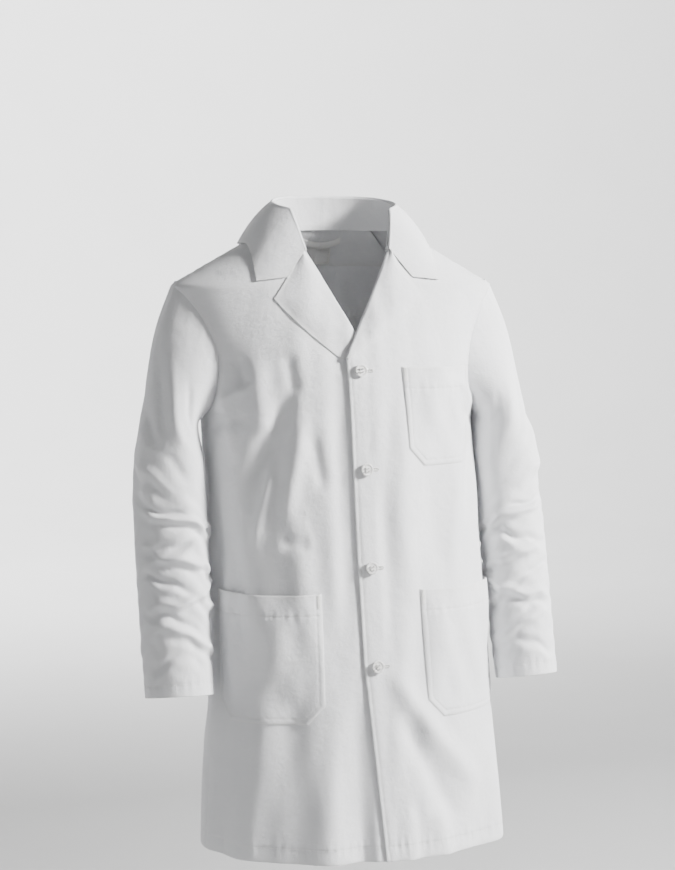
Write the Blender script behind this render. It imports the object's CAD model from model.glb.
import math
import bpy
import numpy as np
from mathutils import Matrix, Vector


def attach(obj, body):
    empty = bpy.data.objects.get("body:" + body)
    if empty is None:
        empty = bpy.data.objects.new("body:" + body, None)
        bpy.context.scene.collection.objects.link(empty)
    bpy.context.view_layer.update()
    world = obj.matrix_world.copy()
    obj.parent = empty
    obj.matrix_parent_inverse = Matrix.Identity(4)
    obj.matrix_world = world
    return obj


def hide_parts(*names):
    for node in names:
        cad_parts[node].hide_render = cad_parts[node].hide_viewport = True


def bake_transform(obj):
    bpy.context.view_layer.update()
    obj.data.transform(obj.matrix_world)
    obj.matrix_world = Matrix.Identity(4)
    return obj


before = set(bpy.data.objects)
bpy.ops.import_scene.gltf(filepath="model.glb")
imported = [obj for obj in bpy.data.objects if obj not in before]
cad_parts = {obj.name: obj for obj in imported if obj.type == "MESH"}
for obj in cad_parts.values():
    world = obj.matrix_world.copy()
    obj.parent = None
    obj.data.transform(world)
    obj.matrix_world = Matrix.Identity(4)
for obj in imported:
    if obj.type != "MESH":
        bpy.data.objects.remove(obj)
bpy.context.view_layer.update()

bpy.ops.object.select_all(action="DESELECT")
dice = np.random.default_rng(11)

# ---- camera ----
cameraSet = {"place": (-0.930, -3.032, -0.017), "turn": -17.1, "above": 5.2, "lens": 90.96}


def makeCamera():
    data = bpy.data.cameras.new("coatCamera")
    data.lens = cameraSet["lens"]
    data.sensor_width = 36
    cam = bpy.data.objects.new("coatCamera", data)
    bpy.context.collection.objects.link(cam)
    a, e = math.radians(cameraSet["turn"]), math.radians(cameraSet["above"])
    back = Vector((math.sin(a) * math.cos(e), -math.cos(a) * math.cos(e), math.sin(e)))
    cam.location = cameraSet["place"]
    cam.rotation_mode = "QUATERNION"
    cam.rotation_quaternion = (-back).to_track_quat("-Z", "Y")
    bpy.context.scene.camera = cam


makeCamera()

# ---- how the coat hangs, in metres down from the point of the neck ----
hang = {
    "z": [0, -.03, -.06, -.1, -.15, -.205, -.27, -.4374, -.6296, -.89],
    "front": [.052, .066, .080, .094, .108, .1206, .126, .129, .136, .146],
    "back": [.066, .084, .098, .108, .115, .118, .116, .106, .116, .132],
    "lean": [0, 0, 0, 0, 0, .001, .003, .007, .013, .018],
    "spine": [.008, .010, .012, .011, .009, .006, .002, -.009, -.022, -.036],
}
girth = {
    "z": [-.088, -.1426, -.2154, -.27, -.4374, -.6296, -.89],
    "half": [.241, .22665, .20738, .202, .200, .2084, .221],
}
cut = {
    "neck": .084, "shoulder": .241, "shoulderLevel": -.088, "armpit": -.27, "scoop": .032,
    "hem": -.89, "lap": .019, "breakLevel": -.190, "ply": .002, "thick": .0009,
    "lastButton": -.617, "flare": (.020, .006), "facing": .066, "ventTop": -.64, "ventLap": .038,
    "hemDeep": .022,
}


def smooth(a, b, x):
    t = np.clip((np.asarray(x, float) - a) / (b - a), 0, 1)
    return t * t * (3 - 2 * t)


def ramp(a, b, x):
    return np.clip((np.asarray(x, float) - a) / (b - a), 0, 1)


def mix(a, b, t):
    return a + (b - a) * t


def hump(x, middle, width):
    return np.exp(-((np.asarray(x, float) - middle) / width) ** 2)


def along(table, field, z):
    zs, ys = np.array(table["z"], float), np.array(table[field], float)
    z = np.asarray(z, float)
    i = np.clip(np.searchsorted(-zs, -z, side="right") - 1, 0, len(zs) - 2)
    before, after = np.maximum(i - 1, 0), np.minimum(i + 2, len(zs) - 1)
    span = zs[i + 1] - zs[i]
    slopeA = (ys[i + 1] - ys[before]) / (zs[i + 1] - zs[before])
    slopeB = (ys[after] - ys[i]) / (zs[after] - zs[i])
    t = np.clip((z - zs[i]) / span, 0, 1)
    t2, t3 = t * t, t * t * t
    return ((2 * t3 - 3 * t2 + 1) * ys[i] + (t3 - 2 * t2 + t) * span * slopeA
            + (3 * t2 - 2 * t3) * ys[i + 1] + (t3 - t2) * span * slopeB)


def halfWidth(z):
    z = np.asarray(z, float)
    level = cut["shoulderLevel"]
    top = mix(cut["neck"], cut["shoulder"], z / level)
    return np.where(z < level, along(girth, "half", np.minimum(z, level)), top)


# the coat before it folds: angle 0 is centre front, 90 the wearer's left side, -90 the right
def skin(angle, z):
    turn = np.radians(angle)
    s, c = np.sin(turn), np.cos(turn)
    depth = np.where(c >= 0, along(hang, "front", z), along(hang, "back", z))
    r = 1 / np.hypot(s / halfWidth(z), c / depth)
    return np.stack([along(hang, "lean", z) + r * s, along(hang, "spine", z) - r * c, z + 0 * r], -1)


def outward(angle, z):
    across = skin(angle + .4, z) - skin(angle - .4, z)
    down = skin(angle, z - .001) - skin(angle, z + .001)
    n = -np.cross(across, down)
    return n / np.linalg.norm(n, axis=-1, keepdims=True)


def angleAt(x, z, back=False):
    depth, hw = along(hang, "back" if back else "front", z), halfWidth(z)
    inside = np.sqrt(np.maximum(0, 1 - (np.minimum(np.abs(x), hw) / hw) ** 2))
    turn = np.degrees(np.arctan2(x, depth * inside))
    return 180 - turn if back else turn


arcSteps = np.linspace(0, 180, 361)


# the angle that lies a length of cloth further round from another
def angleOnward(start, z, length):
    start, z, length = np.broadcast_arrays(start, z, length)
    out = np.empty(z.shape)
    levels, which = np.unique(np.round(z.ravel(), 5), return_inverse=True)
    pts = skin(arcSteps[None, :], levels[:, None])
    step = np.linalg.norm(np.diff(pts, axis=1), axis=2)
    run = np.concatenate([np.zeros((len(levels), 1)), np.cumsum(step, 1)], 1)
    flat = out.ravel()
    for k in range(len(levels)):
        m = which.ravel() == k
        at = np.interp(start.ravel()[m], arcSteps, run[k])
        flat[m] = np.interp(at + length.ravel()[m], run[k], arcSteps)
    return flat.reshape(z.shape)


# soft folds: from (angle, z) to (angle, z), with a width and a height in metres
foldSet = [
    # wearer's right front, from the shoulder and underarm down
    (-44, -.180, -40, -.235, .013, -.0036), (-40, -.225, -66, -.385, .016, -.0066),
    (-58, -.190, -55, -.300, .016, .0046), (-36, -.270, -47, -.410, .014, .0044),
    (-32, -.290, -27, -.370, .014, -.0034), (-53, -.340, -62, -.450, .009, .0040),
    (-50, -.442, -36, -.446, .012, -.0032), (-66, -.185, -62, -.230, .010, -.0030),
    (-74, -.200, -70, -.330, .013, .0040), (-42, -.400, -38, -.600, .022, .0034),
    (-24, -.250, -22, -.600, .022, .0024), (-15, -.220, -17, -.560, .018, -.0022),
    (-84, -.330, -80, -.700, .015, -.0044), (-72, -.440, -68, -.600, .014, -.0030),
    (-60, -.620, -66, -.880, .024, .0036), (-44, -.640, -46, -.885, .026, -.0036),
    (-26, -.600, -28, -.885, .024, .0034), (-78, -.700, -81, -.885, .020, -.0036),
    (-12, -.660, -10, -.885, .018, -.0028),
    # wearer's left front
    (8, -.626, 56, -.800, .020, .0062), (14, -.690, 46, -.850, .018, -.0040),
    (26, -.250, 22, -.520, .026, .0026), (40, -.330, 46, -.500, .022, -.0024),
    (62, -.330, 52, -.520, .018, .0036), (76, -.290, 66, -.430, .016, -.0040),
    (82, -.320, 72, -.600, .016, .0042), (32, -.820, 36, -.888, .018, .0036),
    (66, -.720, 70, -.885, .022, .0040), (20, -.800, 22, -.888, .014, -.0028),
    (12, -.350, 10, -.590, .016, -.0018),
    # back, falling from the shoulder blades
    (108, -.200, 112, -.620, .030, .0052), (128, -.190, 132, -.700, .026, -.0050),
    (146, -.170, 150, -.640, .030, .0050), (166, -.260, 168, -.600, .024, -.0040),
    (-106, -.210, -110, -.640, .028, .0050), (-124, -.190, -129, -.660, .026, -.0048),
    (-143, -.180, -147, -.700, .030, .0052), (-163, -.260, -166, -.620, .022, -.0040),
    (104, -.660, 100, -.885, .024, -.0046), (124, -.650, 122, -.885, .028, .0054),
    (145, -.680, 146, -.885, .024, -.0046), (-104, -.680, -102, -.885, .026, .0048),
    (-126, -.690, -125, -.885, .026, -.0050), (-148, -.660, -149, -.885, .026, .0050),
    # short creases at the underarms
    (80, -.262, 60, -.225, .009, .0026), (84, -.290, 62, -.262, .009, -.0026),
    (-80, -.262, -60, -.222, .009, .0028), (-84, -.292, -63, -.268, .009, -.0026),
    (100, -.262, 120, -.228, .010, .0028), (-100, -.262, -120, -.228, .010, .0028),
]
waves = [(dice.uniform(-2, 2), dice.uniform(9, 26), dice.uniform(0, 6.28), dice.uniform(.4, 1))
         for _ in range(14)]


def folds(angle, z):
    angle, z = np.broadcast_arrays(np.asarray(angle, float), np.asarray(z, float))
    angle = (angle + 180) % 360 - 180
    s = angle * .0034
    lift = np.zeros(angle.shape)
    for a0, z0, a1, z1, width, height in foldSet:
        p, q = np.array([a0 * .0034, z0]), np.array([a1 * .0034, z1])
        d = q - p
        t = ((s - p[0]) * d[0] + (z - p[1]) * d[1]) / (d @ d)
        away = np.hypot(s - p[0] - np.clip(t, 0, 1) * d[0], z - p[1] - np.clip(t, 0, 1) * d[1])
        ends = 1 if z1 < -.87 else smooth(1.12, .75, t)
        lift += 1.5 * height * np.exp(-(away / width) ** 2) * smooth(-.12, .3, t) * ends
    for k, (slope, pitch, phase, share) in enumerate(waves):
        lift += .00042 * share * np.sin(pitch * 4.2 * (s + .12 * slope * z) + phase + 3 * np.sin(4 * z + k))
    flutter = smooth(-.60, -.89, z)
    lift += flutter * .0034 * np.sin(s * 34 + 1.1 * np.sin(9 * z) + .8) * smooth(0, .05, np.abs(s))
    quiet = smooth(-.02, -.14, z) * smooth(0, .03, np.abs(s)) + .15
    return lift * np.minimum(quiet, 1)


# puckers along a line of stitching, by distance from it and place along it
def pucker(distance, run, height=.00045, reach=.010):
    ripple = np.sin(run * 640 + 2.2 * np.sin(run * 97)) + .7 * np.sin(run * 410 + 1.7)
    return height * ripple * np.exp(-(distance / reach) ** 2)


def groove(distance, deep=.0006, width=.0013):
    return -deep * np.exp(-(distance / width) ** 2)


def lay(angle, z, out=0.0):
    lift = folds(angle, z) + out
    return skin(angle, z) + outward(angle, z) * lift[..., None]


# ---- meshes from grids of points ----
def gridNormals(grid, wrap=False):
    if wrap:
        across = np.roll(grid, -1, 1) - np.roll(grid, 1, 1)
    else:
        across = np.gradient(grid, axis=1)
    n = np.cross(np.gradient(grid, axis=0), across)
    return n / np.maximum(np.linalg.norm(n, axis=-1, keepdims=True), 1e-12)


# the normals of a closed ring of columns, pointing away from its middle
def ringNormals(grid):
    n = gridNormals(grid, True)
    towards = grid - grid.mean(1, keepdims=True)
    return -n if (n * towards).sum() < 0 else n


def gridFaces(rows, cols, wrap, base, flip):
    wide = cols if wrap else cols - 1
    j, i = np.meshgrid(np.arange(rows - 1), np.arange(wide), indexing="ij")
    k = (i + 1) % cols
    here, below = base + j * cols, base + (j + 1) * cols
    f = np.stack([here + i, below + i, below + k, here + k], -1).reshape(-1, 4)
    return f[:, ::-1] if flip else f


def meshFrom(name, verts, faces, uv=None, wear=None, material=None, sharp=55):
    p = verts[faces[:, :3]]
    q = verts[faces[:, [0, 2, 3]]] if faces.shape[1] == 4 else p[:0]
    bulk = sum(np.einsum("ij,ij->", t[:, 0], np.cross(t[:, 1], t[:, 2])) for t in (p, q))
    if bulk < 0:
        faces = faces[:, ::-1]
    mesh = bpy.data.meshes.new(name)
    mesh.from_pydata(verts.tolist(), [], faces.tolist())
    if uv is not None:
        layer = mesh.uv_layers.new(name="cut")
        layer.data.foreach_set("uv", uv[faces.ravel()].astype(np.float32).ravel())
    if wear is not None:
        mesh.attributes.new("wear", "FLOAT", "POINT").data.foreach_set("value", wear.astype(np.float32))
    mesh.shade_smooth()
    mesh.set_sharp_from_angle(angle=math.radians(sharp))
    mesh.update()
    obj = bpy.data.objects.new(name, mesh)
    bpy.context.collection.objects.link(obj)
    if material:
        mesh.materials.append(material)
    return obj


# a thin closed sheet: the grid is its outer face, and the inner one lies a thickness behind
def sheetMesh(name, grid, material, thick=None, wrap=False, wearEdges=(0, 0, 0, 0)):
    thick = thick or cut["thick"]
    rows, cols = grid.shape[:2]
    if wrap:
        n = ringNormals(grid)
    else:
        n = gridNormals(grid)
        towards = grid * np.array([1, 1, 0])
        n = -n if (n * towards).sum() < 0 else n
    inner = grid - n * thick
    verts = np.concatenate([grid.reshape(-1, 3), inner.reshape(-1, 3)])
    size = rows * cols
    faces = [gridFaces(rows, cols, wrap, 0, False), gridFaces(rows, cols, wrap, size, True)]
    rims = []
    lines = [(np.arange(cols), False), ((rows - 1) * cols + np.arange(cols), True)]
    if wrap:
        lines = [(np.append(line, line[0]), flip) for line, flip in lines]
    else:
        lines += [(np.arange(rows) * cols, True), (np.arange(rows) * cols + cols - 1, False)]
    for line, flip in lines:
        a, b = line[:-1], line[1:]
        f = np.stack([a, b, b + size, a + size], 1)
        rims.append(f[:, ::-1] if flip else f)
    faces = np.concatenate(faces + rims)
    stepX = np.linalg.norm(np.diff(grid, axis=1), axis=2)
    stepY = np.linalg.norm(np.diff(grid, axis=0), axis=2)
    u = np.concatenate([np.zeros((rows, 1)), np.cumsum(stepX, 1)], 1)
    v = np.concatenate([np.zeros((1, cols)), np.cumsum(stepY, 0)], 0)
    if not wrap:
        u = u - u[:, cols // 2:cols // 2 + 1]
    uv = np.stack([u, v], -1).reshape(-1, 2)
    near = np.zeros((rows, cols))
    for flag, dist in zip(wearEdges, (u - u[:, :1], u[:, -1:] - u, v, v[-1:] - v)):
        near = np.maximum(near, flag * np.exp(-dist / .005))
    near = np.concatenate([near.ravel(), near.ravel()])
    return meshFrom(name, verts, faces, np.concatenate([uv, uv]), near, material)


def pointAlong(run, pts, at):
    return np.array([np.interp(at, run, pts[:, c]) for c in range(3)])


# stitches along a path of points with their normals; each is a small raised bar of thread
def stitchMesh(name, runs, material, pitch=.0030, length=.0023, width=.00055, height=.0004):
    verts, faces = [], []
    ring = np.array([(0, 1), (.8, .55), (1, -.35), (-1, -.35), (-.8, .55)]) * (width / 2, height)
    for pts, normals in runs:
        step = np.linalg.norm(np.diff(pts, axis=0), axis=1)
        run = np.concatenate([[0], np.cumsum(step)])
        count = max(1, int(run[-1] / pitch))
        for k in range(count):
            mid = (k + .5) * run[-1] / count
            ends = [pointAlong(run, pts, mid + s * length / 2) for s in (-1, 1)]
            n = pointAlong(run, normals, mid)
            n /= np.linalg.norm(n)
            d = ends[1] - ends[0]
            side = np.cross(d, n)
            side /= np.linalg.norm(side) + 1e-12
            base = len(verts)
            for share, size in ((0, .35), (.22, 1), (.78, 1), (1, .35)):
                c = ends[0] + d * share
                verts += [c + side * a * size + n * (b * size) for a, b in ring]
            m = len(ring)
            for r in range(3):
                for i in range(m):
                    j = (i + 1) % m
                    faces.append((base + r * m + i, base + r * m + j, base + (r + 1) * m + j,
                                  base + (r + 1) * m + i))
            far = base + 3 * m
            for i in range(1, m - 1):
                faces.append((base, base + i + 1, base + i))
                faces.append((far, far + i, far + i + 1))
    mesh = bpy.data.meshes.new(name)
    mesh.from_pydata([tuple(v) for v in verts], [], faces)
    mesh.shade_smooth()
    mesh.update()
    obj = bpy.data.objects.new(name, mesh)
    bpy.context.collection.objects.link(obj)
    mesh.materials.append(material)
    return obj


# ---- materials ----
def nodeMaterial(name):
    mat = bpy.data.materials.new(name)
    mat.use_nodes = True
    tree = mat.node_tree
    return mat, tree, tree.nodes["Principled BSDF"]


def addNode(tree, kind, **values):
    node = tree.nodes.new(kind)
    for key, value in values.items():
        if key in node.inputs:
            node.inputs[key].default_value = value
        else:
            setattr(node, key, value)
    return node


def ramped(tree, source, low, high, stops=(0, 1)):
    node = addNode(tree, "ShaderNodeValToRGB")
    node.color_ramp.elements[0].position, node.color_ramp.elements[1].position = stops
    node.color_ramp.elements[0].color, node.color_ramp.elements[1].color = low, high
    tree.links.new(source, node.inputs["Fac"])
    return node.outputs["Color"]


clothLook = {
    "twill": dict(color=(.800, .806, .822, 1), shade=(.745, .753, .775, 1), worn=(.70, .70, .69, 1),
                  rib=.00062, rough=(.70, .86), sheen=.22, bump=.35),
    "lining": dict(color=(.755, .760, .772, 1), shade=(.70, .705, .72, 1), worn=(.66, .66, .65, 1),
                   rib=.00062, rough=(.76, .9), sheen=.15, bump=.3),
    "tape": dict(color=(.80, .80, .79, 1), shade=(.72, .72, .72, 1), worn=(.66, .65, .62, 1),
                 rib=.0011, rough=(.62, .8), sheen=.2, bump=.5),
}


def clothMaterial(name, look):
    mat, tree, shader = nodeMaterial(name)
    link = tree.links.new
    uv = addNode(tree, "ShaderNodeUVMap", uv_map="cut")
    obj = addNode(tree, "ShaderNodeTexCoord")
    ribs = addNode(tree, "ShaderNodeTexWave", wave_type="BANDS", bands_direction="DIAGONAL",
                   Scale=.36 / look["rib"], Distortion=.6, Detail=2.0)
    ribs.inputs["Detail Scale"].default_value = 3
    link(uv.outputs["UV"], ribs.inputs["Vector"])
    slubs = addNode(tree, "ShaderNodeTexNoise", Scale=900.0, Detail=3.0, Roughness=.65)
    link(uv.outputs["UV"], slubs.inputs["Vector"])
    cloud = addNode(tree, "ShaderNodeTexNoise", Scale=9.0, Detail=4.0, Roughness=.6)
    link(obj.outputs["Object"], cloud.inputs["Vector"])
    crush = addNode(tree, "ShaderNodeTexNoise", Scale=64.0, Detail=5.0, Roughness=.55)
    link(obj.outputs["Object"], crush.inputs["Vector"])
    wear = addNode(tree, "ShaderNodeAttribute", attribute_name="wear")
    tint = ramped(tree, cloud.outputs["Fac"], look["shade"], look["color"], (.25, .62))
    thread = addNode(tree, "ShaderNodeMix", data_type="RGBA", blend_type="MULTIPLY")
    thread.inputs[0].default_value = .10
    link(tint, thread.inputs[6])
    link(slubs.outputs["Color"], thread.inputs[7])
    worn = addNode(tree, "ShaderNodeMix", data_type="RGBA")
    fray = addNode(tree, "ShaderNodeMath", operation="MULTIPLY")
    link(wear.outputs["Fac"], fray.inputs[0])
    link(crush.outputs["Fac"], fray.inputs[1])
    link(fray.outputs[0], worn.inputs[0])
    link(thread.outputs[2], worn.inputs[6])
    worn.inputs[7].default_value = look["worn"]
    link(worn.outputs[2], shader.inputs["Base Color"])
    rough = addNode(tree, "ShaderNodeMapRange")
    rough.inputs["To Min"].default_value, rough.inputs["To Max"].default_value = look["rough"]
    link(cloud.outputs["Fac"], rough.inputs["Value"])
    link(rough.outputs[0], shader.inputs["Roughness"])
    shader.inputs["Sheen Weight"].default_value = look["sheen"]
    shader.inputs["Sheen Roughness"].default_value = .45
    shader.inputs["Specular IOR Level"].default_value = .22
    crumple = addNode(tree, "ShaderNodeBump", Strength=.42, Distance=.0035)
    link(crush.outputs["Fac"], crumple.inputs["Height"])
    grain = addNode(tree, "ShaderNodeBump", Strength=look["bump"], Distance=.0004)
    link(slubs.outputs["Fac"], grain.inputs["Height"])
    link(crumple.outputs["Normal"], grain.inputs["Normal"])
    weave = addNode(tree, "ShaderNodeBump", Strength=look["bump"], Distance=.0003)
    link(ribs.outputs["Fac"], weave.inputs["Height"])
    link(grain.outputs["Normal"], weave.inputs["Normal"])
    link(weave.outputs["Normal"], shader.inputs["Normal"])
    return mat


def threadMaterial():
    mat, tree, shader = nodeMaterial("whiteThread")
    link = tree.links.new
    obj = addNode(tree, "ShaderNodeTexCoord")
    twist = addNode(tree, "ShaderNodeTexWave", bands_direction="DIAGONAL", Scale=620.0, Distortion=1.0)
    link(obj.outputs["Object"], twist.inputs["Vector"])
    link(ramped(tree, twist.outputs["Fac"], (.70, .70, .69, 1), (.88, .88, .86, 1)),
         shader.inputs["Base Color"])
    bump = addNode(tree, "ShaderNodeBump", Strength=.5, Distance=.0003)
    link(twist.outputs["Fac"], bump.inputs["Height"])
    link(bump.outputs["Normal"], shader.inputs["Normal"])
    shader.inputs["Roughness"].default_value = .5
    shader.inputs["Sheen Weight"].default_value = .3
    return mat


def pearlMaterial():
    mat, tree, shader = nodeMaterial("pearlResin")
    link = tree.links.new
    obj = addNode(tree, "ShaderNodeTexCoord")
    swirl = addNode(tree, "ShaderNodeTexNoise", Scale=90.0, Detail=6.0, Distortion=2.4)
    link(obj.outputs["Object"], swirl.inputs["Vector"])
    base = ramped(tree, swirl.outputs["Fac"], (.66, .655, .64, 1), (.80, .80, .80, 1), (.34, .66))
    link(base, shader.inputs["Base Color"])
    rough = addNode(tree, "ShaderNodeMapRange")
    rough.inputs["To Min"].default_value, rough.inputs["To Max"].default_value = .2, .38
    link(swirl.outputs["Fac"], rough.inputs["Value"])
    link(rough.outputs[0], shader.inputs["Roughness"])
    shader.inputs["Coat Weight"].default_value = .5
    shader.inputs["Coat Roughness"].default_value = .12
    shader.inputs["Subsurface Weight"].default_value = .12
    shader.inputs["Subsurface Radius"].default_value = (.004, .004, .0035)
    scratch = addNode(tree, "ShaderNodeBump", Strength=.06, Distance=.0001)
    link(swirl.outputs["Fac"], scratch.inputs["Height"])
    link(scratch.outputs["Normal"], shader.inputs["Normal"])
    return mat


twill = clothMaterial("whiteTwill", clothLook["twill"])
lining = clothMaterial("innerTwill", clothLook["lining"])
tape = clothMaterial("cottonTape", clothLook["tape"])
thread = threadMaterial()
pearl = pearlMaterial()

# ---- where the seams run ----
def armholeX(z):
    t = ramp(cut["shoulderLevel"], cut["armpit"], z)
    return mix(cut["shoulder"], halfWidth(cut["armpit"]), t) - cut["scoop"] * np.sin(np.pi * t) ** .8


def rollX(z):
    return mix(-cut["lap"], cut["neck"] - .002, ramp(cut["breakLevel"], 0, z))


def edgeX(side, z):
    flare = cut["flare"][0 if side > 0 else 1]
    low = -cut["lap"] + flare * ramp(cut["lastButton"], cut["hem"], z)
    return np.where(z > cut["breakLevel"], rollX(z), low)


def tuck(x, layers):
    return layers * cut["ply"] * (1 - smooth(cut["lap"] + .012, cut["lap"] + .075, np.abs(x)))


def sideAngle(z, back=False):
    z = np.asarray(z, float)
    inArm = (z < cut["shoulderLevel"]) & (z > cut["armpit"])
    t = np.clip(z, cut["armpit"] + 1e-5, cut["shoulderLevel"] - 1e-5)
    return np.where(inArm, angleAt(armholeX(t), t, back), 90)


def degreesPer(angle, z):
    return 1 / np.maximum(np.linalg.norm(skin(angle + .5, z) - skin(angle - .5, z), axis=-1), 1e-5)


hemRows = [(.0225, 0), (.0217, 0), (.0205, 0), (.015, 0), (.008, 0), (.0035, -.0001), (.0012, -.0004),
           (.0002, -.0011), (.0002, -.0019), (.0012, -.0025), (.006, -.0028)]
edgeColumns = [(.0045, -.0026), (.0012, -.0024), (.0002, -.0018), (.0002, -.0009), (.0010, -.0003),
               (.0026, 0), (.0048, 0), (.0058, 0), (.0066, 0), (.0084, 0)]


# one body panel, turned in at its front edge and at its hem; sink says how deep it lies under its neighbour
def bodyPanel(name, side, top, startAngle, endAngle, sink, stitchFrom=-.190, turned=True, hemmed=True,
              bottom=None, columns=92, rowStep=.0034, inset=0.0, material=None, wear=(1, 0, 0, 1)):
    bottom = cut["hem"] if bottom is None else bottom
    low = bottom + (.026 if hemmed else 0)
    levels = np.linspace(top, low, max(3, int((top - low) / rowStep)))
    rowOut = np.zeros(len(levels))
    if hemmed:
        levels = np.append(levels, [bottom + d for d, _ in hemRows])
        rowOut = np.append(rowOut, [o for _, o in hemRows])
    first, last = startAngle(levels), endAngle(levels)
    turn = np.sign(last - first)[len(levels) // 2]
    deg = degreesPer(side * first, levels)
    most = np.abs(last - first) * .4
    cols, colOut = [first], [0]
    if turned:
        cols = [first + turn * np.minimum(d * deg, most) for d, _ in edgeColumns]
        colOut = [o for _, o in edgeColumns]
    begin = cols[-1]
    for share in np.linspace(0, 1, columns)[1:]:
        cols.append(mix(begin, last, share))
        colOut.append(0)
    angle = np.stack(cols, 1)
    z = levels[:, None] + 0 * angle
    out = np.minimum(np.array(colOut)[None, :], rowOut[:, None]) - inset - sink(angle, z)
    fromEdge = np.abs(angle - first[:, None]) / deg[:, None]
    toSeam = np.abs(angle - last[:, None]) / deg[:, None]
    if hemmed:
        stitchRow = bottom + cut["hemDeep"] - .001
        out = out + pucker(z - stitchRow, angle * .0034) * smooth(.004, .012, fromEdge)
        out = out + groove(z - stitchRow)
    if turned:
        seam = smooth(stitchFrom + .004, stitchFrom - .006, z)
        out = out + seam * (groove(fromEdge - .0058) + pucker(fromEdge - .0058, z, .00022, .005))
    out = out - .0011 * np.exp(-(toSeam / .0022) ** 2) + pucker(toSeam - .004, z, .0003, .007)
    return sheetMesh(name, lay(side * angle, z, out), material or twill, wearEdges=wear)


def declare(obj, body=None, blendTo=None, replaces=()):
    if replaces:
        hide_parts(*replaces)
    if blendTo:
        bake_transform(obj)
    else:
        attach(obj, body)
    return obj


skirtBlend = {h: ("coat", h + "_skirt", (0, 0, -.690), (0, 0, -.865)) for h in ("left", "right")}
ventBlend = {h: ("coat", h + "_vent", (0, 0, -.645), (0, 0, -.845)) for h in ("left", "right")}
sides = [(1, "left"), (-1, "right")]

# the right front lies under the left, a little deeper where its lapel is under there too
def frontSink(side):
    def depth(angle, z):
        x = skin(angle, z)[..., 0] - along(hang, "lean", z)
        more = .0032 * hump(z, -.174, .032) * (1 - smooth(.014, .060, np.abs(x)))
        return 0 * x if side > 0 else tuck(x, 2) + more
    return depth


for side, hand in sides:
    edge = lambda z, side=side: angleAt(edgeX(side, z), z)
    seam = lambda z: sideAngle(z) - .06
    sink = frontSink(side)
    front = bodyPanel(hand + "FrontCloth", side, -.007, edge, seam, sink)
    declare(front, blendTo=skirtBlend[hand],
            replaces=[hand + "_front", hand + "_front_skirt"])
    faceTo = lambda z: np.minimum(84, angleAt(edgeX(1, z) + cut["facing"], z))
    faceFrom = lambda z, side=side: angleAt(edgeX(side, z) + .004, z)
    facing = bodyPanel(hand + "FacingCloth", side, -.008, faceFrom, faceTo, sink, turned=False, hemmed=False,
                       bottom=cut["hem"] + .006, columns=20, rowStep=.006, inset=.0030, material=lining,
                       wear=(0, 1, 0, 0))
    declare(facing, blendTo=skirtBlend[hand],
            replaces=[hand + "_front_facing", hand + "_skirt_facing"])
    hem = bodyPanel(hand + "HemCloth", side, cut["hem"] + cut["hemDeep"], faceTo, seam, sink, turned=False,
                    hemmed=False, bottom=cut["hem"] + .005, columns=70, rowStep=.003, inset=.0026,
                    material=lining, wear=(0, 0, 1, 0))
    declare(hem, blendTo=skirtBlend[hand], replaces=[hand + "_front_hem"])
print("fronts laid")


def backStart(z):
    lap = angleAt(-cut["ventLap"] / 2, z, True)
    return mix(180 - .12, lap, smooth(cut["ventTop"] + .012, cut["ventTop"] - .004, z))


def backSink(side):
    def depth(angle, z):
        fromCentre = (180 - angle) / degreesPer(angle, z)
        under = smooth(cut["ventTop"] + .03, cut["ventTop"] - .03, z) * (1 - smooth(.020, .085, fromCentre))
        return 0 * z if side > 0 else 2.7 * cut["ply"] * under
    return depth


for side, hand in sides:
    seam = lambda z: sideAngle(z, True) + .06
    back = bodyPanel(hand + "BackCloth", side, -.004, backStart, seam, backSink(side),
                     stitchFrom=cut["ventTop"])
    declare(back, blendTo=ventBlend[hand], replaces=[hand + "_back", hand + "_back_skirt"])
    hem = bodyPanel(hand + "BackHemCloth", side, cut["hem"] + cut["hemDeep"], lambda z: backStart(z) - 1.4,
                    seam, backSink(side), turned=False, hemmed=False, bottom=cut["hem"] + .005, columns=80,
                    rowStep=.003, inset=.0026, material=lining, wear=(0, 0, 1, 0))
    declare(hem, blendTo=ventBlend[hand], replaces=[hand + "_back_hem"])

neckAngles = np.linspace(124, 236, 80)
neckLevels = np.linspace(-.004, -.062, 22)
neckAngles, neckLevels = np.meshgrid(neckAngles, neckLevels)
grid = lay(neckAngles, neckLevels, -.0026)
neckFacing = sheetMesh("neckFacingCloth", grid, lining, wearEdges=(0, 0, 0, 1))
declare(neckFacing, body="coat", replaces=["back_neck_facing"])
print("backs laid")

# ---- collar ----
collarSet = {"gorge": -.040, "sideRun": .36, "rise": .038, "corner": (.134, -.082), "notch": (.092, -.077),
             "leafSide": -.031, "leafBack": -.044, "rest": .0024, "thick": .0017}


def neckRun(s):
    return 1 - np.abs(2 * s - 1)


def neckline(s, out=0.0):
    run = neckRun(s)
    side = np.where(s < .5, 1, -1)
    k = collarSet["sideRun"]
    z = np.where(run < k, mix(collarSet["gorge"], -.008, ramp(0, k, run)),
                 mix(-.008, -.006, ramp(k, 1, run)))
    end = angleAt(rollX(-.008), -.008)
    angle = np.where(run < k, angleAt(rollX(z), z), mix(end, 180, ramp(k, 1, run)))
    return lay(side * angle, z, out)


def standHeight(s):
    return .002 + collarSet["rise"] * smooth(-.1, .75, neckRun(s))


def inwardOf(foot):
    d = np.stack([-foot[..., 0], -(foot[..., 1] - .010), 0 * foot[..., 0]], -1)
    return d / np.linalg.norm(d, axis=-1, keepdims=True)


def standTop(s, out=0.0):
    foot = neckline(s)
    h = standHeight(s)
    top = foot + inwardOf(foot) * (.2 * h - out)[..., None]
    return top + np.stack([0 * h, 0 * h, h], -1)


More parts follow.
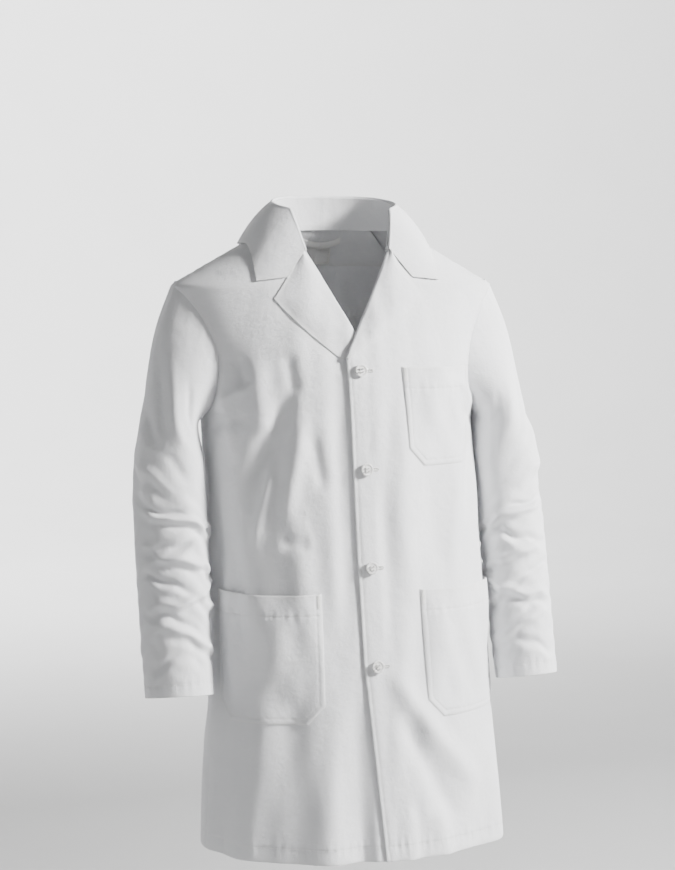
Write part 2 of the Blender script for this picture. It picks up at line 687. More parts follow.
def leafEdge(s, out):
    run = neckRun(s)
    k = collarSet["sideRun"]
    wide, low = collarSet["corner"]
    z = np.where(run < k, mix(low, collarSet["leafSide"], smooth(0, k, run)),
                 mix(collarSet["leafSide"], collarSet["leafBack"], smooth(k, 1, run)))
    around = mix(angleAt(wide, collarSet["leafSide"]), 180, ramp(k, 1, run))
    return lay(np.where(s < .5, 1, -1) * np.where(run < k, angleAt(wide, z), around), z, out)


def leafGrid():
    s = .5 - .5 * np.cos(np.linspace(0, np.pi, 150))
    s = mix(s, np.linspace(0, 1, 150), .55)
    v = np.linspace(0, 1, 34)
    top = standTop(s, .003 + 0 * s) + np.array([0, 0, .0036])
    edge = leafEdge(s, collarSet["rest"] + .0012)
    away = (top + edge) / 2 - np.array([0, .010, 0])
    away[:, 2] = 0
    away /= np.linalg.norm(away, axis=1, keepdims=True)
    bulge = mix(.0065, .0095, smooth(0, .6, neckRun(s)))[:, None]
    middle = mix(top, edge, .42) + away * bulge + np.array([0, 0, .9]) * bulge
    t = v[:, None, None]
    grid = (1 - t) ** 2 * top[None] + 2 * t * (1 - t) * middle[None] + t * t * edge[None]
    # the seam to the lapel runs down to the notch, and the free edge goes on to the corner
    nx, nz = collarSet["notch"]
    gx = rollX(collarSet["gorge"]) + .001
    px = np.where(v < .5, mix(gx, nx, v / .5), mix(nx, collarSet["corner"][0], (v - .5) / .5))
    pz = np.where(v < .5, mix(collarSet["gorge"], nz, v / .5),
                  mix(nz, collarSet["corner"][1], (v - .5) / .5))
    rise = mix(.0058, collarSet["rest"] + .0012, smooth(0, .6, v))
    for end, side in ((0, 1), (-1, -1)):
        line = lay(side * angleAt(px, pz), pz, rise)
        near = np.clip(1 - (s if side > 0 else 1 - s) / .11, 0, 1) ** 1.6
        near = near[None, :, None]
        grid = grid + near * (line - grid[:, end])[:, None, :]
    # over the fold and down inside
    inward = inwardOf(neckline(s))
    rows = []
    for turn in (150, 110, 70, 35):
        a = math.radians(turn)
        rows.append(grid[0] + inward * (.0024 * (1 - math.cos(a))) + np.array([0, 0, .0024 * math.sin(a)]))
    rows[0] = rows[0] - np.array([0, 0, .003])
    return np.concatenate([np.array(rows), grid])


leaf = sheetMesh("collarLeafCloth", leafGrid(), twill, thick=collarSet["thick"], wearEdges=(1, 1, 0, 1))
declare(leaf, body="coat", replaces=["collar_leaf"])
s = np.linspace(.015, .985, 150)
foot = neckline(s) + np.array([0, 0, -.004])
foot = foot + inwardOf(foot) * .0042
top = standTop(s) + inwardOf(foot) * .0020 + np.array([0, 0, .0030])
v = np.linspace(0, 1, 16)[:, None, None]
bow = np.sin(np.pi * v) * .0016
standGrid = mix(foot[None], top[None], v) - inwardOf(foot)[None] * bow
stand = sheetMesh("collarStandCloth", standGrid, lining, thick=.0016)
declare(stand, body="coat", replaces=["collar_stand"])

# ---- lapels ----
lapelSet = {"notch": (.092, -.078), "tip": (.112, -.106), "foot": -.1885, "swell": .0036, "roll": .0042,
            "thick": .0017, "ends": (-.0125, .024)}


def lapelX(side, z):
    (nx, nz), (tx, tz) = lapelSet["notch"], lapelSet["tip"]
    gorge = collarSet["gorge"]
    t = ramp(tz, lapelSet["foot"], z)
    low = mix(tx, lapelSet["ends"][0 if side > 0 else 1], t) + .006 * np.sin(np.pi * t)
    high = mix(rollX(gorge) + .004, nx, ramp(gorge, nz, z))
    return np.where(z > nz, high, np.where(z > tz, mix(nx, tx, ramp(nz, tz, z)), low))


for side, hand in sides:
    end = lapelSet["foot"]
    z = np.concatenate([np.linspace(collarSet["gorge"], -.078, 16), np.linspace(-.078, -.106, 11)[1:],
                        np.linspace(-.106, end, 34)[1:]])
    v = ramp(-.060, end, z)
    roll, wide = rollX(z) - .0016, lapelX(side, z)
    if side < 0:
        roll = np.maximum(roll, -rollX(z) - .010)
    radius = lapelSet["roll"] * np.minimum(1, mix(1, .4, smooth(.55, 1, v)))
    xs, outs = [], []
    high = .0027
    for turn in (-75, -45, -15, 15, 40, 65):
        a = math.radians(turn)
        xs.append(roll + radius * (1 - math.cos(a)))
        outs.append(high - radius + radius * math.sin(a))
    for u in np.linspace(0, 1, 30):
        xs.append(mix(roll + radius, wide, u))
        bulge = lapelSet["swell"] * np.sin(np.pi * min(1, u * 1.08)) * (1 - smooth(.62, .95, v))
        outs.append(high + bulge - .0008 * u ** 6)
    x, out = np.stack(xs, 1), np.stack(outs, 1)
    zz = z[:, None] + 0 * x
    if side < 0:
        out = out - frontSink(-1)(angleAt(x, zz), zz)
    grid = lay(side * angleAt(x, zz), zz, out)
    lapel = sheetMesh(hand + "LapelCloth", grid, twill, thick=lapelSet["thick"], wearEdges=(0, 1, 0, 0))
    declare(lapel, body="coat", replaces=[hand + "_lapel"])
print("collar and lapels laid")

# ---- patch pockets ----
pocketSet = {
    "chest_pocket": dict(side=1, inner=.062, width=.128, top=-.202, height=.140),
    "left_pocket": dict(side=1, inner=.072, width=.168, top=-.514, height=.182),
    "right_pocket": dict(side=-1, inner=.072, width=.168, top=-.514, height=.182),
}
pocketCut = {"corner": .026, "ease": .0085, "turn": .004, "hem": .030, "stitch": (.0014, .0082),
             "thick": .0015}
pocketRuns = []


def pocketPoint(p, a, b, out):
    z = p["top"] - b
    z0 = z - .0025 * np.sin(np.pi * np.clip(a / p["width"], 0, 1)) * (1 - b / p["height"])
    angle = angleOnward(angleAt(p["inner"], z0), z0, a + pocketCut["turn"] * b / p["height"])
    return p["side"] * angle, z0, out


def pocketEdge(p, a, b):
    w, h, c = p["width"], p["height"], pocketCut["corner"]
    cornerA = ((a + (h - b)) - c) / math.sqrt(2)
    cornerB = (((w - a) + (h - b)) - c) / math.sqrt(2)
    return np.minimum.reduce([a, w - a, h - b, cornerA, cornerB])


def pocketOut(p, a, b):
    u, v = a / p["width"], b / p["height"]
    d = pocketEdge(p, a, b)
    swell = pocketCut["ease"] * np.sin(np.pi * np.clip(u, 0, 1)) ** .8 * (1 - smooth(.12, .95, v))
    out = .0021 + swell - .0013 * np.exp(-(np.maximum(d, 0) / .0010) ** 2)
    for at in pocketCut["stitch"]:
        out = out + groove(d - at, .0005, .0011)
    out = out + pucker(d - .008, a + b, .0002, .007) * smooth(0, .003, d)
    fromHem = b - pocketCut["hem"]
    out = out + groove(fromHem, .0005) + pucker(fromHem, a, .00032, .008) * smooth(0, .01, d)
    bag = smooth(.01, .05, d)
    k = p["inner"] * 40 + p["side"]
    sway = .0017 * np.sin(a * 62 + 5 * v + k) + .0012 * np.sin(a * 118 - 9 * v + 2 * k)
    out = out + bag * sway * mix(.6, 1, v)
    return out


for name, p in pocketSet.items():
    w, h, c = p["width"], p["height"], pocketCut["corner"]
    fine = np.array([0, .0006, .0014, .0024, .004, .0058, .0072, .0082, .0094, .0125])
    mid = np.linspace(.0125, w - .0125, int(w / .0031))[1:-1]
    across = np.concatenate([fine, mid, (w - fine)[::-1]]) / w
    rows = np.concatenate([[0, .0006, .0015, .003], np.linspace(.003, .0285, 10)[1:],
                           [.0292, .030, .0308, .032],
                           np.linspace(.032, h - c, int((h - c - .032) / .0031))[1:],
                           np.linspace(h - c, h - .012, 6)[1:], (h - fine)[::-1]])
    corner = np.clip(rows - (h - c), 0, c)[:, None]
    a = mix(corner, w - corner, across[None, :])
    b = rows[:, None] + 0 * a
    lip = -.0006 * np.exp(-(b / .0008) ** 2)
    angle, z, out = pocketPoint(p, a, b, pocketOut(p, a, b) + lip)
    pocket = sheetMesh(name + "_cloth", lay(angle, z, out), twill, thick=pocketCut["thick"],
                       wearEdges=(.6, .6, 1, .6))
    declare(pocket, body="coat", replaces=[name])
    b = np.linspace(.001, pocketCut["hem"] + .004, 14)[:, None] + 0 * across[None, 12:-12]
    a = across[None, 12:-12] * w + 0 * b
    angle, z, out = pocketPoint(p, a, b, pocketOut(p, a, b) - .0019)
    inside = sheetMesh(name + "_turning", lay(angle, z, out), lining, thick=.0008, wearEdges=(0, 0, 0, 1))
    declare(inside, body="coat", replaces=[name + "_hem"])
    lines = []
    for inset in pocketCut["stitch"]:
        o = inset
        k = c + o * (2 - math.sqrt(2))
        lines.append([(o, .003), (o, h - k), (k, h - o), (w - k, h - o), (w - o, h - k), (w - o, .003)])
    lines.append([(.009, pocketCut["hem"]), (w - .009, pocketCut["hem"])])
    for path in lines:
        for (a0, b0), (a1, b1) in zip(path[:-1], path[1:]):
            t = np.linspace(0, 1, max(2, int(math.hypot(a1 - a0, b1 - b0) / .0015)))
            a, b = mix(a0, a1, t), mix(b0, b1, t)
            angle, z, out = pocketPoint(p, a, b, pocketOut(p, a, b) + .0001)
            pocketRuns.append((lay(angle, z, out), outward(angle, z)))
    for end, a0 in (("inner", .0015), ("outer", w - .0075)):
        bars = []
        for b0 in np.arange(.0015, .0205, .00075):
            a = np.linspace(a0, a0 + .006, 5)
            b = b0 + 0 * a
            angle, z, out = pocketPoint(p, a, b, pocketOut(p, a, b) + .0002)
            bars.append((lay(angle, z, out), outward(angle, z)))
        tack = stitchMesh(f"{name}_{end}_tack", bars, thread, pitch=.006, length=.0058, width=.0008,
                          height=.0006)
        declare(tack, body="coat", replaces=[f"{name}_{end}_bartack"])
print("pockets laid")

# ---- sleeves ----
sleeveSet = {
    "columns": 88, "rows": 160,
    "bicep": (.246, -.002, -.276, .038, .066), "above": (-.009, -.337, .0495, .060),
    "elbow": (.2555, -.016, -.392, .0515), "cuffRadius": (.0485, .046), "cuffLevel": -.660, "forward": -.066,
    "hem": .0155, "hemCut": .022,
}


def armholePoint(side, turn):
    t = (1 - np.cos(turn)) / 2
    z = mix(-.0892, -.267, t)
    front = np.sin(turn) >= 0
    angle = np.where(front, sideAngle(z), sideAngle(z, True))
    angle = np.where(np.abs(np.sin(turn)) < .05, mix(angle, 90, 1 - np.abs(np.sin(turn)) / .05), angle)
    return lay(side * angle, z, -.0006 + 0 * z), outward(side * angle, z)


def sleeveGrid(side):
    turn = np.linspace(0, 2 * np.pi, sleeveSet["columns"], endpoint=False)
    cos, sin = np.cos(turn), np.sin(turn)
    lean = along(hang, "lean", np.array([-.392, -.660])) * side
    mirror = np.array([side, 1, 1])
    top, bodyNormal = armholePoint(side, turn)
    top = top * mirror
    bx, by, bz, bw, bd = sleeveSet["bicep"]
    ex, ey, ez, er = sleeveSet["elbow"]
    ex += lean[0]
    slim = 0
    if side > 0:
        # this sleeve is a little slimmer and hangs a little closer
        ex, slim = ex - .003, .0035
    ay, az, aw, ad = sleeveSet["above"]
    ax = mix(bx, ex, .75)
    bicep = np.stack([bx + bw * cos, by - bd * sin, bz + .012 * cos], 1)
    above = np.stack([ax + aw * cos, ay - ad * sin, az + 0 * cos], 1)
    between = mix(top, bicep, .34) + np.stack([.002 + .0025 * (1 + cos), 0 * cos, .0015 * (1 + cos)], 1)
    cuff = np.array([float(halfWidth(-.660)) + .053 - slim + lean[1], sleeveSet["forward"],
                     sleeveSet["cuffLevel"]])
    elbow = np.array([ex, ey, ez])
    down = cuff - elbow
    length = np.linalg.norm(down)
    down /= length
    side0 = np.cross(down, [0, -1, 0])
    side0 /= np.linalg.norm(side0)
    front0 = np.cross(side0, down)
    rings = []
    for share, w, d in ((0, er, .056), (.12, .0520, .0555), (.38, .0515, .0530), (.7, .0500, .0490),
                        (1, *sleeveSet["cuffRadius"])):
        c = elbow + down * (length * share)
        tilt = smooth(0, .12, share)
        across = mix(np.array([1.0, 0, 0]), side0 * np.sign(side0[0]), tilt)
        ahead = mix(np.array([0, -1.0, 0]), front0 * -np.sign(front0[1]), tilt)
        rings.append(c + across * ((w - slim) * cos)[:, None] + ahead * (d * sin)[:, None])
    keys = np.stack([top, between, bicep, above, *rings])
    step = np.linalg.norm(np.diff(keys, axis=0), axis=2).mean(1)
    at = np.concatenate([[0], np.cumsum(step)])
    run = np.linspace(0, at[-1], sleeveSet["rows"])
    slopes = np.gradient(keys, at, axis=0)
    i = np.clip(np.searchsorted(at, run, side="right") - 1, 0, len(at) - 2)
    span = (at[i + 1] - at[i])[:, None, None]
    t = ((run - at[i]) / (at[i + 1] - at[i]))[:, None, None]
    grid = ((2 * t ** 3 - 3 * t ** 2 + 1) * keys[i] + (t ** 3 - 2 * t ** 2 + t) * span * slopes[i]
            + (3 * t ** 2 - 2 * t ** 3) * keys[i + 1] + (t ** 3 - t ** 2) * span * slopes[i + 1])
    ahead = grid[3] - grid[0]
    ahead /= np.linalg.norm(ahead, axis=1, keepdims=True)
    # the seam allowance, tucked inside the armhole
    steps = ((.007, .0042), (.0028, .0030), (.0004, .0012))
    allowance = [(grid[0] - ahead * a) * mirror - bodyNormal * b for a, b in steps]
    return grid * mirror, run, turn, np.array(allowance)


# hand-laid creases: (place along the sleeve, turn round it, slant, half width, spread round, height)
creaseSet = [
    (.235, 60, .030, .0065, 46, -.0030), (.262, 100, .026, .0060, 50, .0034),
    (.292, 75, -.022, .0065, 50, -.0036), (.318, 110, .026, .0060, 55, .0036),
    (.342, 60, .020, .0060, 44, -.0030), (.366, 95, -.020, .0065, 55, .0034),
    (.396, 70, .030, .0070, 52, -.0034), (.424, 120, .024, .0070, 50, .0030),
    (.452, 60, -.022, .0075, 48, -.0026), (.488, 95, .026, .0085, 54, .0024),
    (.180, 35, .050, .0100, 40, .0026), (.120, 20, .060, .0110, 36, -.0022),
    (.255, 250, .026, .0075, 50, .0030), (.300, 280, -.022, .0070, 55, -.0032),
    (.345, 240, .020, .0075, 52, .0030), (.395, 270, .024, .0080, 50, -.0028),
    (.205, 300, .040, .0100, 44, .0026), (.450, 300, -.026, .0085, 48, .0024),
    (.275, 175, .018, .0060, 40, .0030), (.325, 190, -.018, .0060, 44, -.0032),
    (.375, 170, .018, .0065, 44, .0028),
]


# long folds down the upper arm: from (place, turn) to (place, turn), with a width and a height
longSet = [
    (.045, 15, .150, 74, .0105, -.0044), (.150, 74, .200, 106, .0100, -.0032),
    (.080, 2, .280, 60, .0130, .0038), (.050, 48, .160, 112, .0100, .0034),
    (.050, 78, .120, 122, .0075, -.0028), (.160, 8, .270, 24, .0120, -.0034),
    (.200, 96, .300, 120, .0120, .0026), (.060, 300, .260, 250, .0130, .0036),
    (.080, 268, .240, 224, .0120, -.0034), (.330, 40, .470, 66, .0140, .0026),
    (.360, 96, .500, 118, .0130, -.0024), (.340, 290, .500, 262, .0140, -.0028),
]


def creases(run, turn, side):
    round0, down0, tall, outerCalm = (0, 0, 1, .35) if side < 0 else (14, .008, .62, .62)
    deg = np.degrees(turn)[None, :] - round0
    r = run[:, None] - down0
    lift = 0 * (r + deg)
    for place, around, onward, aroundTo, width, height in longSet:
        t = np.clip((r - place) / (onward - place), 0, 1)
        d = (deg - around - (aroundTo - around) * t + 180) % 360 - 180
        past = np.maximum(0, np.maximum(place - r, r - onward))
        ends = np.exp(-(past / .022) ** 2) * smooth(-.1, .35, t) * smooth(1.1, .6, t)
        lift = lift + tall * height * np.exp(-(d * .0009 / width) ** 2) * ends
    for place, around, slant, width, spread, height in creaseSet:
        d = (deg - around + 180) % 360 - 180
        wander = .0045 * np.sin(d / 21 + place * 90) + .0022 * np.sin(d / 8 + place * 300)
        away = (r - place - slant * d / 90 - wander) / width
        ridge = np.exp(-away ** 2) - .55 * np.exp(-((away - 1.7) / 1.15) ** 2)
        lift = lift + 1.75 * height * ridge * np.exp(-(np.abs(d) / spread) ** 2.4)
    slack = smooth(.16, .26, r) * smooth(.56, .44, r)
    ripple = np.sin(r * 210 + 2.4 * np.sin(deg / 34) + 1.6 * np.sin(deg / 13))
    lift = lift + .0011 * slack * ripple * np.sin(deg / 29 + 1)
    lift = lift + .0012 * np.sin(deg / 19 + 6 * r) * smooth(.05, .2, r)
    # the outer side of the arm stays calmer
    calm = 1 - outerCalm * np.exp(-(((deg + 190) % 360 - 180) / 42) ** 2)
    return lift * calm * smooth(.015, .08, r) * smooth(run[-1] - .008, run[-1] - .06, r)


for side, hand in sides:
    grid, run, turn, allowance = sleeveGrid(side)
    grid = grid + ringNormals(grid) * creases(run, turn, side)[..., None]
    n = ringNormals(grid)
    toCuff = run[-1] - run[:, None]
    seamTurn = np.degrees(turn)[None, :]
    toHem = toCuff - sleeveSet["hem"]
    out = pucker(toHem, seamTurn * .0009, .0005, .009) + groove(toHem)
    out = out + pucker(run[:, None] - .004, seamTurn * .0016, .0005, .010)
    innerSeam = ((seamTurn - 180 + 180) % 360 - 180) * .0009
    out = out + groove(innerSeam, .0009, .0016) + pucker(innerSeam, run[:, None], .0004, .007)
    grid = grid + n * out[..., None]
    # the cuff is turned up inside
    axis = grid[-1].mean(0)
    rim = grid[-1] - axis
    rim /= np.linalg.norm(rim, axis=1, keepdims=True)
    onward = (grid[-1] - grid[-3]).mean(0)
    onward /= np.linalg.norm(onward)
    steps = ((-.0003, .0007), (-.0012, .0010), (-.0021, .0006), (-.0026, -.0012), (-.0027, -.006))
    turned = [grid[-1] + rim * a + onward * b for a, b in steps]
    full = np.concatenate([allowance, grid, np.array(turned)])
    place = np.concatenate([[0] * len(allowance), run])
    split = int(np.argmin(np.abs(grid.mean(1)[:, 2] + .292))) + len(allowance)
    upper = sheetMesh(hand + "UpperSleeveCloth", full[:split + 1], twill, wrap=True)
    lower = sheetMesh(hand + "LowerSleeveCloth", full[split:], twill, wrap=True, wearEdges=(0, 0, 0, 1))
    declare(upper, blendTo=("coat", hand + "_sleeve", (0, 0, -.1), (0, 0, -.2)),
            replaces=[hand + "_upper_sleeve"])
    # it bends along its own length, and wholly follows the arm where it meets the lower piece
    share = np.repeat(smooth(0, place[split] - .006, place[:split + 1]), sleeveSet["columns"])
    share = np.concatenate([share, share]).astype(np.float32)
    declare(lower,
            blendTo=(hand + "_sleeve", hand + "_forearm", (0, 0, -.305), (0, 0, -.480)),
            replaces=[hand + "_forearm_sleeve"])
    # both pieces are shaded with the normals of the whole sleeve, so that no line shows between them
    whole = ringNormals(full)
    for piece, rows in ((upper, slice(0, split + 1)), (lower, slice(split, None))):
        face = whole[rows].reshape(-1, 3)
        piece.data.normals_split_custom_set_from_vertices(np.concatenate([face, -face]).tolist())
    levels = np.linspace(run[-1] - sleeveSet["hemCut"], run[-1] - .006, 7)
    flat = grid.reshape(len(run), -1)
    ring = np.stack([np.interp(levels, run, flat[:, k]) for k in range(flat.shape[1])], 1).reshape(7, -1, 3)
    hem = sheetMesh(hand + "CuffHemCloth", ring - ringNormals(ring) * .0019, lining, thick=.0008, wrap=True,
                    wearEdges=(0, 0, 1, 0))
    declare(hem, body=hand + "_forearm", replaces=[hand + "_cuff_hem"])
    row = int(np.argmin(np.abs(run - (run[-1] - sleeveSet["hem"]))))
    closed = np.concatenate([grid[row], grid[row][:1]])
    closedN = np.concatenate([n[row], n[row][:1]])
    cuffStitch = stitchMesh(hand + "CuffStitching", [(closed + closedN * .0001, closedN)], thread)
    declare(cuffStitch, body=hand + "_forearm")
print("sleeves laid")

# ---- buttons, with their thread and buttonholes ----
buttonSet = {"first": -.206, "pitch": .137, "size": .018, "thick": .0032, "hole": .0019, "spread": .0023,
             "lift": .0026, "holeFrom": -.0065, "holeTo": .0175}


def buttonPlace(z):
    o = Vector(lay(0.0, z).tolist())
    n = Vector(outward(0.0, z).tolist())
    across = (Vector((1, 0, 0)) - n * n.x).normalized()
    return Matrix.Translation(o) @ Matrix((across, n, across.cross(n))).transposed().to_4x4(), o, n


def makeButton():
    r, t = buttonSet["size"] / 2, buttonSet["thick"]
    bpy.ops.object.select_all(action="DESELECT")
    bpy.ops.mesh.primitive_cylinder_add(vertices=64, radius=r, depth=t)
    disc = bpy.context.active_object
    disc.name = "buttonBlank"
    bpy.ops.object.mode_set(mode="EDIT")
    bpy.ops.mesh.select_all(action="SELECT")
    bpy.ops.mesh.bevel(offset=.0009, segments=8, affect="EDGES")
    bpy.ops.mesh.select_all(action="DESELECT")
    bpy.ops.object.mode_set(mode="OBJECT")
    top = max(disc.data.polygons, key=lambda f: f.center.z + f.area)
    top.select = True
    bpy.ops.object.mode_set(mode="EDIT")
    bpy.ops.mesh.select_mode(type="FACE")
    bpy.ops.mesh.inset(thickness=.0011, depth=0)
    bpy.ops.mesh.inset(thickness=.0007, depth=-.0004)
    bpy.ops.mesh.inset(thickness=.0007, depth=-.0004)
    bpy.ops.mesh.inset(thickness=.0008, depth=-.0001)
    bpy.ops.object.mode_set(mode="OBJECT")
    for a in (-1, 1):
        for b in (-1, 1):
            bpy.ops.object.select_all(action="DESELECT")
            spot = (a * buttonSet["spread"], b * buttonSet["spread"], 0)
            bpy.ops.mesh.primitive_cylinder_add(vertices=24, radius=buttonSet["hole"] / 2, depth=t * 3,
                                                location=spot)
            drill = bpy.context.active_object
            cutter = disc.modifiers.new("hole", "BOOLEAN")
            cutter.object = drill
            cutter.operation = "DIFFERENCE"
            cutter.solver = "EXACT"
            bpy.ops.object.select_all(action="DESELECT")
            disc.select_set(True)
            bpy.context.view_layer.objects.active = disc
            bpy.ops.object.modifier_apply(modifier=cutter.name)
            bpy.data.objects.remove(drill)
    bpy.ops.object.select_all(action="DESELECT")
    disc.select_set(True)
    bpy.context.view_layer.objects.active = disc
    bpy.ops.object.shade_smooth_by_angle(angle=math.radians(13))
    disc.data.transform(Matrix.Rotation(math.radians(-90), 4, "X"))
    return disc


blank = makeButton()
for k in range(4):
    z = buttonSet["first"] - k * buttonSet["pitch"]
    place, o, n = buttonPlace(z)
    name = f"button_{k + 1}"
    mesh = blank.data.copy()
    mesh.transform(Matrix.Translation((0, buttonSet["lift"] + buttonSet["thick"] / 2, 0)))
    mesh.transform(place)
    disc = bpy.data.objects.new(name + "_disc", mesh)
    bpy.context.collection.objects.link(disc)
    mesh.materials.clear()
    mesh.materials.append(pearl)
    declare(disc, body=f"fastener_{k + 1}", replaces=[name])
    bars = []
    face = buttonSet["lift"] + buttonSet["thick"] - .0007
    for row in (-1, 1):
        for strand in (-.00052, 0, .00052):
            x = np.linspace(-buttonSet["spread"] - .0003, buttonSet["spread"] + .0003, 9)
            y = face + .0006 * np.sin(np.linspace(0, np.pi, 9)) ** .5 - .0003
            pts = [place @ Vector((a, b, row * buttonSet["spread"] + strand)) for a, b in zip(x, y)]
            bars.append((np.array(pts), np.array([n] * 9)))
    threads = stitchMesh(name + "_strands", bars, thread, pitch=.0062, length=.0056, width=.00056,
                         height=.0005)
    declare(threads, body=f"fastener_{k + 1}", replaces=[name + "_thread"])
    worked = []
    for rail in (-.0016, .0016):
        for x in np.arange(buttonSet["holeFrom"], buttonSet["holeTo"], .00072):
            c0, c1 = place @ Vector((x, .0003, rail - .0011)), place @ Vector((x, .0003, rail + .0011))
            worked.append((np.array([c0, (c0 + c1) / 2, c1]), np.array([n] * 3)))
    start, stop = buttonSet["holeFrom"], buttonSet["holeTo"]
    for x in (start - .0006, start - .0013, stop, stop + .0007):
        c0, c1 = place @ Vector((x, .0004, -.0028)), place @ Vector((x, .0004, .0028))
        worked.append((np.array([c0, (c0 + c1) / 2, c1]), np.array([n] * 3)))
    hole = stitchMesh(f"buttonhole_{k + 1}_worked", worked, thread, pitch=.006, length=.0022, width=.0008,
                      height=.0007)
    declare(hole, body="coat", replaces=[f"buttonhole_{k + 1}"])
    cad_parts[name + "_shank"].data.materials.clear()
    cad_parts[name + "_shank"].data.materials.append(thread)
bpy.data.objects.remove(blank)
print("buttons sewn on")

# ---- seams: rows of stitches on the panels ----
def seamRun(angles, z, out=.0001):
    angles, z = np.broadcast_arrays(np.asarray(angles, float), np.asarray(z, float))
    return lay(angles, z, out + 0 * z), outward(angles, z)


for side, hand in sides:
    z = np.linspace(-.194, cut["hem"] + .004, 500)
    first = angleAt(edgeX(side, z), z)
    angle = first + .0058 * degreesPer(first, z)
    under = frontSink(side)(angle, z)
    frontRuns = [seamRun(side * angle, z, .0001 - under - .0005)]
    level = cut["hem"] + cut["hemDeep"] - .001
    a = np.linspace(angleAt(edgeX(side, level), level) + 1.5, 89.2, 300)
    zz = level + 0 * a
    under = frontSink(side)(a, zz)
    frontRuns.append(seamRun(side * a, zz, pucker(0 * a, a * .0034) - .0005 - under))
    z = np.linspace(-.093, -.262, 160)
    a = sideAngle(z)
    frontRuns.append(seamRun(side * (a - .0062 * degreesPer(a, z)), z))
    stitches = stitchMesh(hand + "FrontStitching", frontRuns, thread)
    declare(stitches, blendTo=skirtBlend[hand])
    a = np.linspace(90.8, float(backStart(level)) - 1.5, 300)
    zz = level + 0 * a
    backRuns = [seamRun(side * a, zz, pucker(0 * a, a * .0034) - .0005 - backSink(side)(a, zz))]
    z = np.linspace(-.093, -.262, 160)
    a = sideAngle(z, True)
    backRuns.append(seamRun(side * (a + .0062 * degreesPer(a, z)), z))
    if side > 0:
        z = np.linspace(-.648, cut["hem"] + .004, 220)
        first = backStart(z)
        backRuns.append(seamRun(first - .0058 * degreesPer(first, z), z, -.0004))
        backRuns.append(seamRun(178.6, np.linspace(-.030, -.632, 380)))
    stitches = stitchMesh(hand + "BackStitching", backRuns, thread)
    declare(stitches, blendTo=ventBlend[hand])
pocketStitches = stitchMesh("pocketStitching", pocketRuns, thread)
declare(pocketStitches, body="coat")
tackRuns = []
for k in range(6):
    x = np.linspace(-.019, .019, 30)
    z = cut["ventTop"] + .012 - .0008 * k + 0 * x
    tackRuns.append(seamRun(angleAt(x, z, True), z, .0006))
vent = stitchMesh("ventTacking", tackRuns, thread, pitch=.0026, length=.0026, width=.0008, height=.0006)
declare(vent, body="coat", replaces=["vent_tack"])
print("stitching done")

# ---- hanger loop and blank label ----
loopSet = {"half": .032, "tape": .008, "level": -.020, "sag": .009}


def loopGrid():
    t = np.linspace(-1, 1, 61)
    x = t * loopSet["half"]
    drop = 1 - t * t
    depth = .0034 + loopSet["sag"] * drop * .6
    z = loopSet["level"] - .005 * drop
    mid = lay(angleAt(x, z, True), z, -.0045 - depth)
    v = np.linspace(.5, -.5, 7)[:, None]
    rise = np.stack([0 * (v + t), .0006 * np.cos(v * np.pi) + 0 * t, v * loopSet["tape"] + 0 * t], -1)
    return mid[None] - rise * np.array([1, 1, -1])


loop = sheetMesh("hangerTape", loopGrid(), tape, thick=.0011, wearEdges=(0, 0, 1, 1))
declare(loop, body="hanger", replaces=["hanger_loop"])
x, z = np.meshgrid(np.linspace(-.021, .021, 40), np.linspace(-.034, -.058, 24))
bow = .0006 * np.sin(x * 170) * np.sin((z + .034) * 130)
labelGrid = lay(angleAt(x, z, True), z, -.0053 + bow)
label = sheetMesh("blankLabel", labelGrid, tape, thick=.0007, wearEdges=(1, 1, 1, 1))
declare(label, body="coat", replaces=["size_label"])
border = []
for xs, zs in (((-.0195, .0195), (-.0352, -.0352)), ((-.0195, .0195), (-.0568, -.0568)),
               ((-.0197, -.0197), (-.0355, -.0565)), ((.0197, .0197), (-.0355, -.0565))):
    bx, bz = np.linspace(*xs, 20), np.linspace(*zs, 20)
    pts, ns = seamRun(angleAt(bx, bz, True), bz, -.0063)
    border.append((pts, -ns))
labelStitch = stitchMesh("labelStitching", border, thread, pitch=.0024, length=.0018)
declare(labelStitch, body="coat")

# ---- floor and light ----
room = {"floor": -1.42, "wide": 7.0, "sweep": 2.6}


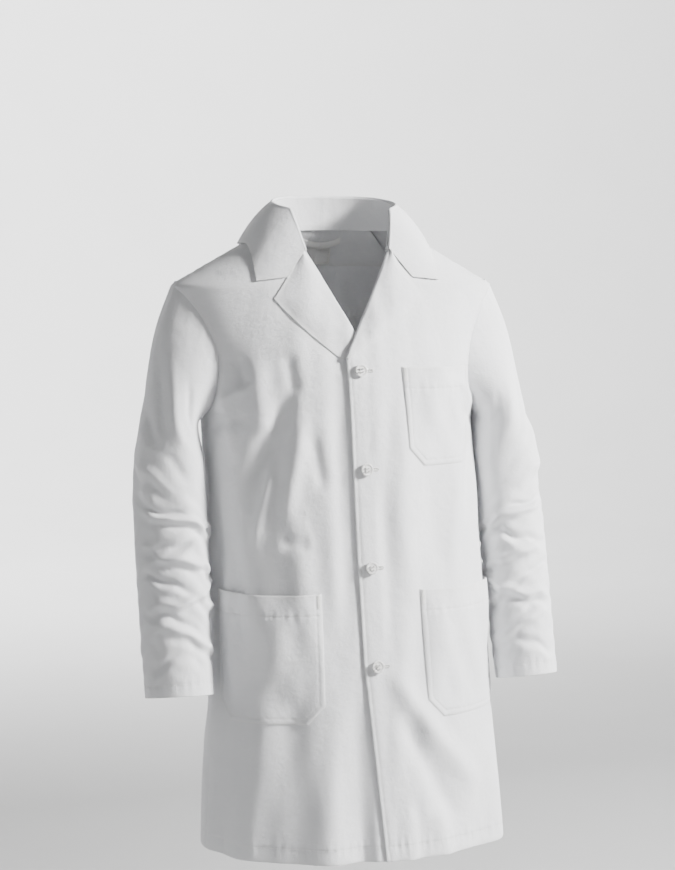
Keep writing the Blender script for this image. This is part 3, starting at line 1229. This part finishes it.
def makeRoom():
    mat, tree, shader = nodeMaterial("paleFloor")
    obj = addNode(tree, "ShaderNodeTexCoord")
    noise = addNode(tree, "ShaderNodeTexNoise", Scale=3.0, Detail=3.0)
    tree.links.new(obj.outputs["Object"], noise.inputs["Vector"])
    tree.links.new(ramped(tree, noise.outputs["Fac"], (.54, .54, .54, 1), (.58, .58, .58, 1)),
                   shader.inputs["Base Color"])
    shader.inputs["Roughness"].default_value = .9
    r, f = room["wide"], room["floor"]
    line = [(.0002, f), (r * .5, f), (r, f)]
    for k in range(1, 13):
        a = math.radians(90 * k / 12)
        line.append((r + room["sweep"] * math.sin(a), f + room["sweep"] * (1 - math.cos(a))))
    line.append((r + room["sweep"], 9.0))
    turns = [math.radians(360 * k / 72) for k in range(72)]
    verts = [(d * math.sin(a), -d * math.cos(a), z) for d, z in line for a in turns]
    faces = gridFaces(len(line), 72, True, 0, False).tolist()
    mesh = bpy.data.meshes.new("paleFloor")
    mesh.from_pydata(verts, [], faces)
    mesh.shade_smooth()
    mesh.materials.append(mat)
    floor = bpy.data.objects.new("paleFloor", mesh)
    bpy.context.collection.objects.link(floor)
    world = bpy.data.worlds.new("softRoom")
    world.use_nodes = True
    world.node_tree.nodes["Background"].inputs["Color"].default_value = (.93, .95, 1, 1)
    world.node_tree.nodes["Background"].inputs["Strength"].default_value = .03
    bpy.context.scene.world = world


lightSet = {
    "key": ((2.0, -1.35, .80), .55, 285, (1, .99, .975)),
    "front": ((.3, -3.3, 1.6), 1.8, 8, (1, 1, 1)),
    "back": ((2.3, 1.9, .85), .6, 75, (.97, .985, 1)),
}
wallLights = {"out": 4.6, "height": 3.2, "size": 3.0, "powers": (1450, 210, 60, 40, 40, 380)}


def makeLight(name, place, aim, size, power, colour):
    data = bpy.data.lights.new(name, "AREA")
    data.shape = "DISK"
    data.size, data.energy, data.color = size, power, colour
    lamp = bpy.data.objects.new(name, data)
    bpy.context.collection.objects.link(lamp)
    lamp.location = place
    lamp.rotation_euler = (Vector(aim) - Vector(place)).to_track_quat("-Z", "Y").to_euler()
    lamp.visible_camera = False


def makeLights():
    for name, (place, size, power, colour) in lightSet.items():
        makeLight(name, place, (0, 0, -.42), size, power, colour)
    w = wallLights
    for k, power in enumerate(w["powers"]):
        a = math.radians(360 * k / len(w["powers"]))
        place = (w["out"] * math.sin(a), w["out"] * math.cos(a), w["height"])
        aim = (9 * math.sin(a), 9 * math.cos(a), w["height"] - 2.2)
        makeLight(f"wall{k}", place, aim, w["size"], power, (1, 1, 1))


makeRoom()
makeLights()
